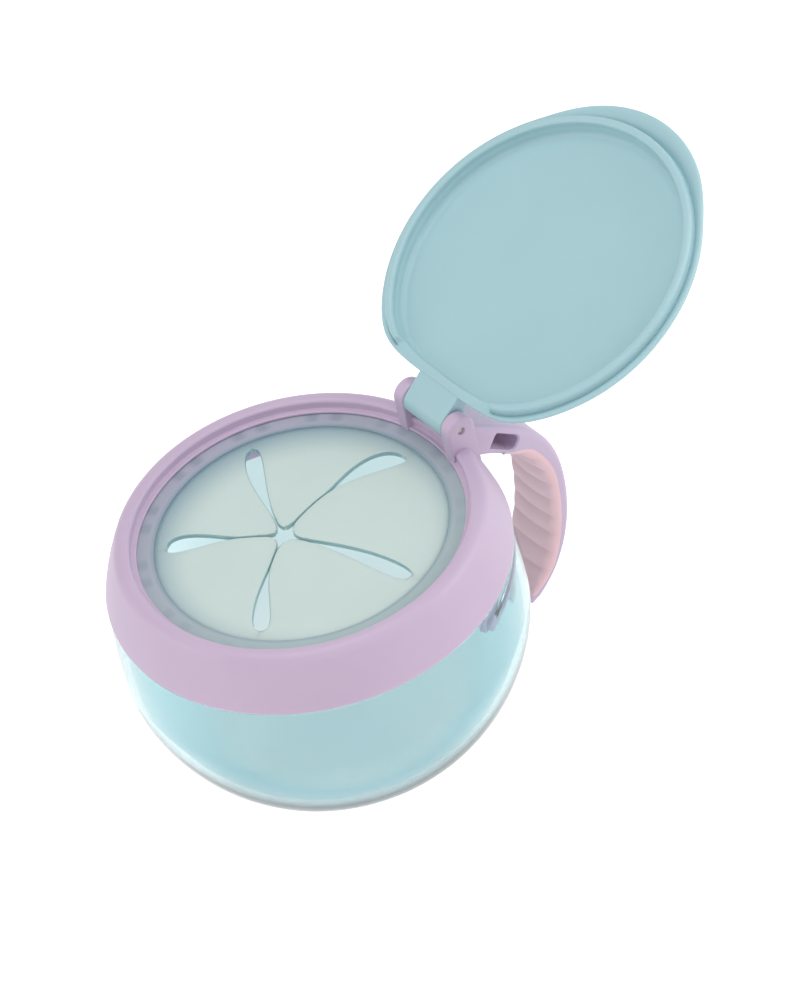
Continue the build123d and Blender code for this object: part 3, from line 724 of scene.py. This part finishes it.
# the rigid arm, rooted in the collar. Its inner side is sunk by the grip's depth where the grip
# lies, it ends in a round tip, and a slot for a strap passes through the bar.
def makeHandleArm():
    h = handle
    outside, inside, start, end = handleStations()
    along = alongLine(inside)
    sunk = smoothStep(along, start, start + 0.6) * smoothStep(-along, -end, 0.6 - end)
    across = (outside - inside) / np.linalg.norm(outside - inside, axis=1)[:, None]
    inside = inside + across * (sunk * (gripDepth(along, start, end) - 0.05))[:, None]
    edge = h["edge"] + (h["seamEdge"] - h["edge"]) * smoothStep(sunk, 0, 0.6)
    inside, outside = np.vstack([h["rootUnder"], inside]), np.vstack([h["rootTop"], outside])
    middle, span = (outside[-1] + inside[-1]) / 2, (outside[-1] - inside[-1]) / 2
    ahead = np.array([-span[1], span[0]])
    ahead = ahead if ahead @ (outside[-1] - outside[-5]) > 0 else -ahead
    turn = arc(0, 84, 9)[1:, None]
    inside = np.vstack([inside, middle - span * np.cos(turn) + ahead * np.sin(turn)])
    outside = np.vstack([outside, middle + span * np.cos(turn) + ahead * np.sin(turn)])
    thinnest = np.linalg.norm(outside - inside, axis=1) * 0.45
    innerEdge = np.minimum(np.concatenate([[0.5], edge, np.full(len(turn), h["edge"])]), thinnest)
    grid = bandGrid(inside, outside, h["halfWidth"], innerEdge, np.minimum(h["edge"], thinnest))
    arm = makePiece("handleArm", [(grid, False, True, True)], None, collarPlastic)
    cutAway(arm, slotCutter())
    arm.data.shade_smooth()
    arm.data.set_sharp_from_angle(angle=radians(42))
    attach(arm, "collar")
    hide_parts("handle_arm")
    return arm


# the space of the slot: one square end, one round end, and flared at both side faces
def slotCutter():
    h = handle
    outer = resampled(handleLines()[0][0], 201)
    at = int(h["slotShare"] * 200)
    way = outer[at + 1] - outer[at]
    way = way / np.linalg.norm(way)
    into = np.array([way[1], -way[0]])
    into = into if into[1] < 0 else -into
    middle = outer[at] + into * h["slotInset"]
    length, width, flare = h["slotLength"] / 2, h["slotWidth"] / 2, h["slotFlare"]
    levels = [(h["halfWidth"] + 2.0, flare), (h["halfWidth"] + 0.02, flare)]
    levels += [(h["halfWidth"] - flare * sin(a), flare * (1 - sin(a))) for a in arc(15, 90, 6)]
    rings = []
    for y, grow in levels + [(0, 0)] + [(-y, grow) for y, grow in levels[::-1]]:
        long, wide = length + grow, width + grow
        square, rounded = h["slotCorner"] + grow, h["slotRound"] + grow
        line = roundedPath([(-long, -wide), (long, -wide), (long, wide), (-long, wide)],
                           [square, rounded, rounded, square], longest=50, arcStep=10)
        flat = middle + line[:, :1] * way + line[:, 1:] * into
        rings.append(np.column_stack([flat[:, 0], np.full(len(flat), y), flat[:, 1]]))
    return makePiece("slotCutter", [(np.stack(rings), False, True, True)], None, collarPlastic)


# takes the cutter's space out of the piece, and removes the cutter
def cutAway(piece, cutter):
    change = piece.modifiers.new("cut", "BOOLEAN")
    change.object, change.operation, change.solver = cutter, "DIFFERENCE", "EXACT"
    bpy.context.view_layer.update()
    done = bpy.data.meshes.new_from_object(piece.evaluated_get(bpy.context.evaluated_depsgraph_get()))
    piece.modifiers.clear()
    piece.data = done
    bpy.data.objects.remove(cutter)


# the soft grip, let into the arm's inner side. Its face is a row of broad ribs: it sinks by
# depth (1 - |sin(pi s / pitch)| to the rib power) between them.
def makeHandleGrip():
    h = handle
    outside, inside, start, end = handleStations()
    along = alongLine(inside)
    even = np.linspace(start, end, 330)
    face, far = atDistances(inside, along, even), atDistances(outside, along, even)
    across = (far - face) / np.linalg.norm(far - face, axis=1)[:, None]
    here, left, margin = even - start, end - even, h["ribMargin"]
    ribs = 1 - np.abs(np.sin(pi * (here - margin) / h["ribPitch"])) ** h["ribPower"]
    ribs *= smoothStep(here, margin - 0.5, margin + 0.8) * smoothStep(left, margin - 0.5, margin + 0.8)
    nearEnd = np.minimum(here, left)
    back = gripDepth(even, start, end) * np.sqrt(np.clip(nearEnd / 0.6, 0.02, 1))
    edge = np.minimum(np.clip(0.15 + nearEnd * 0.8, 0, h["gripEdge"]), back * 0.58)
    crown = np.minimum(h["gripCrown"], back * 0.34)
    grid = bandGrid(face, face + across * back[:, None], h["halfWidth"], edge, 0.04, h["ribDepth"] * ribs, crown)
    return makePiece("handleGrip", [(grid, False, True, True)], "collar", gripRubber, ["handle_grip"], 60)


makeHandleArm()
makeHandleGrip()
print("handle made")

membrane = {
    "discRadius": 34.25, "bandRadius": 38.9, "bandThickness": 1.0, "slitRadius": 31.5, "chord": 25.484,
    "hub": (-3.8, 2.0),  # where the slits meet, off the axis as the rubber lies
    "bendBefore": 0.6, "bendAfter": 2.4,  # how far the bend at a flap's root reaches out and in
    "tipStart": 2.7, "tipEnd": 4.6, "edge": 0.28, "gap": 0.12,
}
slits = [  # from the hinge's side round: turn, bow, how far it opens to each side, share that stays shut
    (0.7, 4.2, 4.5, 1.2, 0.42),
    (2.2, 1.0, 2.4, 1.4, 0.2),
    (-0.8, -1.1, 1.5, 3.2, 0.38),
    (-0.5, -1.5, 2.1, 1.6, 0.32),
    (-2.5, 1.5, 1.8, 2.2, 0.08),
]


# the outer end of a slit in the x-y plane
def slitEnd(number):
    return membrane["slitRadius"] * direction(72 * number + slits[number % 5][0])


# points of a slit's plus or minus side, at shares of the way from the hub to its end. The slit's
# line bows sideways as a half sine, and opens as u^1.5 (1-u)^0.4, over its value at the peak.
def slitSide(number, share, side):
    bow, plus, minus, shut = slits[number % 5][1:]
    hub = np.array(membrane["hub"])
    along = slitEnd(number) - hub
    left = np.array([-along[1], along[0]]) / np.linalg.norm(along)
    u = np.clip((share - shut) / (1 - shut), 0, 1)
    opening = u ** 1.5 * (1 - u) ** 0.4 / (0.789 ** 1.5 * 0.211 ** 0.4)
    closing = np.clip((1 - share) / 0.02, 0, 1)
    offset = bow * np.sin(pi * share) + (plus if side > 0 else -minus) * opening
    offset = offset + side * membrane["gap"] * closing
    return hub + share * along + offset * left


# a soft sector between two slits. Rows run from its round tip near the hub to the ring, each from
# one slit's plus side to the next one's minus side, with quarter-round edges.
def makeFlap(number):
    m = membrane
    reach, tipStart, tipEnd, hub = m["slitRadius"], m["tipStart"], m["tipEnd"], np.array(m["hub"])
    share = np.concatenate([
        tipStart + (tipEnd - tipStart) * np.linspace(0, 1, 14) ** 2,
        np.linspace(tipEnd, reach - 2, 60)[1:],
        reach - 2 * (1 - np.linspace(0, 1, 18)[1:]) ** 1.6,
    ])[:, None] / reach
    low, high = slitSide(number, share, 1), slitSide(number + 1, share, -1)
    tip = np.clip((tipEnd - share * reach) / (tipEnd - tipStart), 0, 1)
    narrow = (1 - np.sqrt(1 - (0.98 * tip) ** 2)) / 2
    low, high = low + (high - low) * narrow, high - (high - low) * narrow
    across = np.linspace(0, 1, 33)[1:-1]
    first, last = slits[number][0], slits[(number + 1) % 5][0]
    turn = np.radians(72 * (number + across) + first + (last - first) * across)
    arcPoints = hub + share[..., None] * (reach * np.stack([np.cos(turn), np.sin(turn)], axis=-1) - hub)
    flatLow, flatHigh = (hub + share * (slitEnd(n) - hub) for n in (number, number + 1))
    lowShift, highShift = (low - flatLow)[:, None], (high - flatHigh)[:, None]
    inner = arcPoints + lowShift * (1 - across)[:, None] + highShift * across[:, None]
    most = reach * (0.72 + 0.28 * share)  # the rows stay in order next to the ring
    inner = inner * np.minimum(1, most / np.linalg.norm(inner, axis=-1))[..., None]
    wide = np.linalg.norm(high - low, axis=1)[:, None]
    way = (high - low) / wide
    edge = np.minimum(m["edge"], wide * 0.12) * np.clip((1 - share) / 0.02, 0.01, 1)
    inset, drop = roundedEdge(edge, 5)
    lowEdge = low[:, None] + way[:, None] * inset[..., None]
    highEdge = high[:, None] - way[:, None] * inset[..., None]
    # one loop across the flap: up the low side, over the top, down the high side, back underneath
    flat = np.concatenate([lowEdge[:, ::-1], inner, highEdge, highEdge[:, ::-1], inner[:, ::-1], lowEdge], axis=1)
    face = 0 * share * across
    bend = np.hstack([drop[:, ::-1], face, drop])
    heights = np.hstack([flapTop - bend, flapBottom + bend])
    outer = np.array([[reach + 0.5], [reach + 1.5], [m["discRadius"] + 0.4], [m["discRadius"] + 0.4]])
    flat = np.concatenate([flat[:1], flat, flat[-1:] * outer[..., None] / reach])
    closed = np.full_like(heights[:1], (flapTop + flapBottom) / 2)
    heights = np.vstack([closed, heights, np.repeat(heights[-1:], 3, axis=0), closed])
    grid = np.concatenate([flat, heights[..., None]], axis=-1)
    onEdge = (inset < edge * 0.99) * np.ones_like(share) * (share < 0.995)
    mask = np.hstack([onEdge[:, ::-1], face, onEdge, onEdge[:, ::-1], face, onEdge])
    mask = np.vstack([mask[:1], mask, np.zeros((4, mask.shape[1]))])
    name = f"flap_{number + 1}"
    piece = makePiece(
        f"softFlap{number + 1}", [(grid, False, True, False)], None, membraneRubber, [name], mask=mask
    )
    way = np.append(direction(72 * number + 36), 0)
    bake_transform(piece)
    return piece


# the clamped band, with the step down to the flaps: one closed line turned about the axis
def makeMembraneRing():
    m = membrane
    disc, low = m["discRadius"], bandTop - m["bandThickness"]
    line = roundedPath([
        (disc, flapBottom), (disc, flapTop), (disc + 0.2, bandTop), (m["bandRadius"], bandTop),
        (m["bandRadius"], low), (disc + 0.8, low), (disc + 0.3, flapBottom),
    ], [0, 0, 0.15, 0.3, 0.3, 0.2, 0.1], longest=0.6)
    parts = [(turnedGrid(line, everyAngle(360)), True, True, False)]
    return makePiece("membraneBand", parts, "insert", bandRubber, ["membrane_ring"])


makeMembraneRing()
for flapNumber in range(5):
    makeFlap(flapNumber)
retainer = frame["nodes"]["retainer_ring"].data
retainer.materials.clear()
retainer.materials.append(collarPlastic)
print("membrane made")

lid = {  # worked out closed and then swung open
    "radius": 41.0, "bottom": rimHeight + seatGap, "flange": 1.1, "wall": 2.0, "dome": 40.3, "shoulder": 4.4,
    "crown": 1.2, "domeRound": 3.0, "draft": 0.7, "edge": 0.5, "cut": 36.0, "thumbDisc": 34.5, "thumbReach": 44.0,
    "plugOuter": 39.2, "plugWall": 2.2, "plugDepth": 2.0, "plugGap": 26.0, "plugFade": 2.2, "plugRound": 0.75,
    "plugDraft": 0.1, "groove": 0.45, "recessRound": 1.6, "recessDraft": 0.25,
    "floorEdge": 0.12, "floorEdgeRadius": 33.0, "floorEdgeWidth": 0.6,
    "domeInset": 0.15, "plugInset": 0.9, "plugBoreInset": 1.7,  # how far each lies in from the straight side
    "cornerPower": 22.0, "thumbPower": 90.0,
}


# a circle with a straight side at x = cut, its corners rounded: the radius and cut / cos are joined
# by (r^-p + c^-p)^(-1/p), a high power p giving a sharp corner
def squaredOff(radius, cut, turn):
    p = lid["cornerPower"]
    c = np.maximum(np.cos(turn), 1e-6) / cut
    return ((1 / radius) ** p + c ** p) ** (-1 / p)


# the larger of a radius and that of a smaller disc that reaches farther at the front
def withThumbRest(radius, disc, reach, turn):
    p, offset = lid["thumbPower"], reach - disc
    thumb = -offset * np.cos(turn) + np.sqrt(disc ** 2 - (offset * np.sin(turn)) ** 2)
    return radius * (1 + (thumb / radius) ** p) ** (1 / p)


# the lid as rings (radius, height) about its middle: outer dome, shoulder, flange with the thumb
# rest, plug ring with its gap towards the hinge, recess wall and recess floor
def makeLidShell():
    d = lid
    corner = np.linspace(18, 40, 45)  # more rings' points where the straight side meets the circle
    angles = np.sort(np.concatenate([everyAngle(360), corner + 0.21, 360.21 - corner]))
    turn = np.radians(angles)
    bore, cut = d["plugOuter"] - d["plugWall"], d["cut"]
    dome = squaredOff(d["dome"], cut - d["domeInset"], turn)
    edge = withThumbRest(squaredOff(d["radius"], cut, turn), d["thumbDisc"], d["thumbReach"], turn)
    plugTall = smoothStep(np.minimum(angles, 360 - angles), d["plugGap"], d["plugGap"] + d["plugFade"])
    plugOuter = squaredOff(d["plugOuter"], cut - d["plugInset"], turn)
    plugInner = squaredOff(bore, cut - d["plugBoreInset"], turn)
    recess = squaredOff(bore - 0.1, cut - d["wall"] - 0.1, turn)
    bottom, top, shoulder = d["bottom"], d["bottom"] + d["flange"], d["bottom"] + d["shoulder"]
    crownTop, roundFrom = shoulder + d["crown"], shoulder + d["crown"] * 0.25
    inner = dome - d["draft"] - d["domeRound"]
    rows = [(inner * share, crownTop - d["crown"] * 0.75 * share ** 2) for share in np.linspace(0, 1, 26)]
    rows += [
        (inner + d["domeRound"] * sin(a), roundFrom - d["domeRound"] * (1 - cos(a))) for a in arc(0, 90, 12)[1:]
    ]
    rows += [
        (dome - d["draft"] * (1 - share), (roundFrom - d["domeRound"]) * (1 - share) + (top + 0.1) * share)
        for share in (0.35, 0.7, 1.0)
    ]
    rows += [(dome + (edge - dome) * share, top) for share in (0.12, 0.5)]
    rows += [(np.maximum(edge - d["edge"] * 1.6, dome + (edge - dome) * 0.6), top)]
    soft, flat = np.minimum(d["edge"], (edge - dome) * 0.4 + 0.12), d["flange"] - 2 * d["edge"]
    rows += [
        (edge - soft * (1 - sin(a)), top - d["edge"] + d["edge"] * cos(a) - flat * (a / pi))
        for a in arc(0, 180, 15)
    ]
    rows += [(np.maximum(edge - d["edge"] * 1.6, plugOuter + 0.4), bottom)]
    rows += [
        (plugOuter + out, bottom + d["groove"] * share * plugTall)
        for out, share in ((0.3, 0.3), (0.2, 1), (0.03, 1))
    ]
    soft = np.minimum(d["plugRound"], (plugOuter - plugInner) * 0.42)
    straight, draft = d["plugDepth"] - soft, d["plugDraft"] * plugTall
    corner = [(soft * (1 - cos(a)), (d["plugDepth"] - soft * (1 - sin(a))) * plugTall) for a in arc(0, 90, 7)]
    rows += [(plugOuter - draft * share, bottom - straight * share * plugTall) for share in (0.12, 0.4, 0.7)]
    rows += [(plugOuter - draft - out, bottom - down) for out, down in corner]
    rows += [((plugOuter + plugInner) / 2, bottom - d["plugDepth"] * plugTall)]
    rows += [(plugInner + out, bottom - down) for out, down in corner[::-1]]
    rows += [(plugInner, bottom - straight * share * plugTall) for share in (0.7, 0.4, 0.1)]
    floorEdge, draft, soft = shoulder - d["wall"], d["recessDraft"], d["recessRound"]
    rows += [
        (recess - draft * share, bottom + (floorEdge - soft - bottom) * share)
        for share in (0.05, 0.25, 0.5, 0.8, 1.0)
    ]
    rows += [
        (recess - draft - soft * (1 - cos(a)), floorEdge - soft * (1 - sin(a))) for a in arc(0, 90, 9)[1:]
    ]
    inner = recess - draft - soft
    stepFrom = -d["floorEdgeRadius"] - d["floorEdgeWidth"]
    for share in np.linspace(0, 1, 30)[1:]:
        radius = inner * (1 - share)
        step = d["floorEdge"] * smoothStep(-radius, stepFrom, -d["floorEdgeRadius"])
        rows.append((radius, floorEdge + d["crown"] * (1 - (radius / inner) ** 2) + step))
    grid = swungOpen(np.stack([aroundAxis(radius, turn, height) for radius, height in rows]))
    return makePiece("lidShell", [(grid, False, True, False)], "lid", lidPlastic, ["lid"])


tongue = {"halfWidth": 7.0, "radius": 3.55, "edge": 0.5, "bore": 1.05}


# distance from the pin to the tongue's outline, the hull of the knuckle's circle and the lid's edge:
# in each direction the least of support(n) / (n . direction) over all n
def tongueReach(turn):
    x, z = lid["cut"] - 1.0 - pinX, lid["bottom"] - pinZ
    root = np.array([(x, z), (x, z + lid["shoulder"] - 0.4)])
    circle, normals = np.radians(np.arange(0, 360, 2.0)), np.radians(np.arange(0, 360, 0.5))
    cloud = np.vstack([np.column_stack([np.cos(circle), np.sin(circle)]) * tongue["radius"], root])
    facing = np.column_stack([np.cos(normals), np.sin(normals)])
    support = (facing @ cloud.T).max(1)
    share = facing @ np.column_stack([np.cos(turn), np.sin(turn)]).T
    return np.where(share > 0.01, support[:, None] / np.maximum(share, 0.01), 1e3).min(0)


# a bored plate between the ears, its outline given by tongueReach
def makeTongue():
    t = tongue
    angles = np.unique(np.concatenate([everyAngle(180), np.linspace(180, 235, 111)]))
    grid = plateGrid(tongueReach, angles, t["bore"], -t["halfWidth"], t["halfWidth"], t["edge"])
    parts = [(swungOpen(grid + pinPlace), True, True, False)]
    return makePiece("lidTongue", parts, "lid", lidPlastic, sharpAngle=50)


makeLidShell()
makeTongue()
print("lid made")

studio = {
    "skyLight": 0.42, "skyColour": (0.96, 0.98, 1.0, 1.0), "bounce": 0.36, "bounceColour": (1.0, 0.98, 0.97, 1.0),
    "white": (1.0, 1.0, 1.0, 1.0), "sheet": (0.85, 0.85, 0.85, 1.0), "paper": (0.6, 0.6, 0.6, 1.0),
    "paperGlow": 0.72, "cardFrom": 30.0, "cardFade": 20.0, "cardGlow": 0.3,
    "floorHalf": 3000.0, "floorDrop": 0.2,
}


# soft light for the object, and plain white where a camera, gloss or clear ray ends
def makeWorld():
    world = bpy.data.worlds.new("studio")
    bpy.context.scene.world = world
    world.use_nodes = True
    tree = world.node_tree
    tree.nodes.clear()
    soft = addNode(tree, "Background", {"Color": studio["skyColour"], "Strength": studio["skyLight"]})
    plain = addNode(tree, "Background", {"Color": studio["white"], "Strength": 1.0})
    ray = addNode(tree, "LightPath").outputs
    seen = addNode(tree, "Math", (ray["Is Camera Ray"], ray["Is Glossy Ray"]), operation="MAXIMUM")
    seen = addNode(tree, "Math", (seen, ray["Is Transmission Ray"]), operation="MAXIMUM")
    addNode(tree, "OutputWorld", {"Surface": addNode(tree, "MixShader", (seen, soft, plain))})


# a wide white sheet that shows nothing but the object's soft shadow. It throws some light back up at
# the object, and in gloss it is a little brighter away from the middle, as between two cards.
def makeFloor():
    mesh = bpy.data.meshes.new("floor")
    size = studio["floorHalf"] * metre
    mesh.from_pydata([(-size, -size, 0), (size, -size, 0), (size, size, 0), (-size, size, 0)], [], [(0, 1, 2, 3)])
    floor = bpy.data.objects.new("floor", mesh)
    bpy.context.scene.collection.objects.link(floor)
    floor.location.z = -studio["floorDrop"] * metre
    material, tree, place = newMaterial("paleFloor")
    ray = addNode(tree, "LightPath").outputs
    matt = addNode(tree, "BsdfDiffuse", {"Color": studio["sheet"]})
    bounce = addNode(tree, "Emission", {"Color": studio["bounceColour"], "Strength": studio["bounce"]})
    faint = addNode(tree, "BsdfDiffuse", {"Color": studio["paper"]})
    glow = addNode(tree, "Emission", {"Color": studio["white"], "Strength": studio["paperGlow"]})
    xyz = addNode(tree, "SeparateXYZ", [place]).outputs
    sideways = addNode(tree, "Math", [
        addNode(tree, "Math", (xyz[axis], way), operation="MULTIPLY") for axis, way in zip("XY", camera["right"])
    ], operation="ADD")
    card = addNode(tree, "Math", [sideways], operation="ABSOLUTE")
    card = addNode(tree, "Math", (card, studio["cardFrom"] * metre), operation="SUBTRACT")
    card = addNode(tree, "Math", (card, studio["cardFade"] * metre), operation="DIVIDE", use_clamp=True)
    card = addNode(tree, "Math", (card, ray["Is Glossy Ray"]), operation="MULTIPLY")
    card = addNode(tree, "Math", (card, studio["cardGlow"], 1.0), operation="MULTIPLY_ADD")
    mirrored = addNode(tree, "Emission", {"Color": studio["white"], "Strength": card})
    matt = addNode(tree, "AddShader", (matt, bounce))
    paper = addNode(tree, "AddShader", (faint, glow))
    beyond = addNode(tree, "Math", (ray["Is Glossy Ray"], ray["Is Transmission Ray"]), operation="MAXIMUM")
    lit = addNode(tree, "MixShader", (ray["Is Camera Ray"], matt, paper))
    addNode(tree, "OutputMaterial", {"Surface": addNode(tree, "MixShader", (beyond, lit, mirrored))})
    mesh.materials.append(material)


lamps = [  # name, place, size, watts
    ("leftLamp", (-640, 300, 420), 620, 1.6),
    ("rightLamp", (620, -420, 400), 560, 2.6),
    ("topLamp", (40, 60, 900), 500, 2.2),
    ("frontLamp", (-300, -700, 600), 420, 0.8),
    ("lowLamp", (-560, -430, 60), 360, 0.45),
]
lampTarget = (10, 0, 50)


# square area lamps, each turned to face the target
def makeLamps():
    for name, place, size, watts in lamps:
        data = bpy.data.lights.new(name, "AREA")
        data.energy, data.size = watts, size * metre
        lamp = bpy.data.objects.new(name, data)
        lamp.location = Vector(place) * metre
        lamp.visible_transmission = False  # the clear bowl shows only the white room
        lamp.rotation_euler = (Vector(lampTarget) * metre - lamp.location).to_track_quat("-Z", "Y").to_euler()
        bpy.context.scene.collection.objects.link(lamp)


makeWorld()
makeFloor()
makeLamps()
bpy.context.scene.view_settings.view_transform = "Standard"
print("stage made")
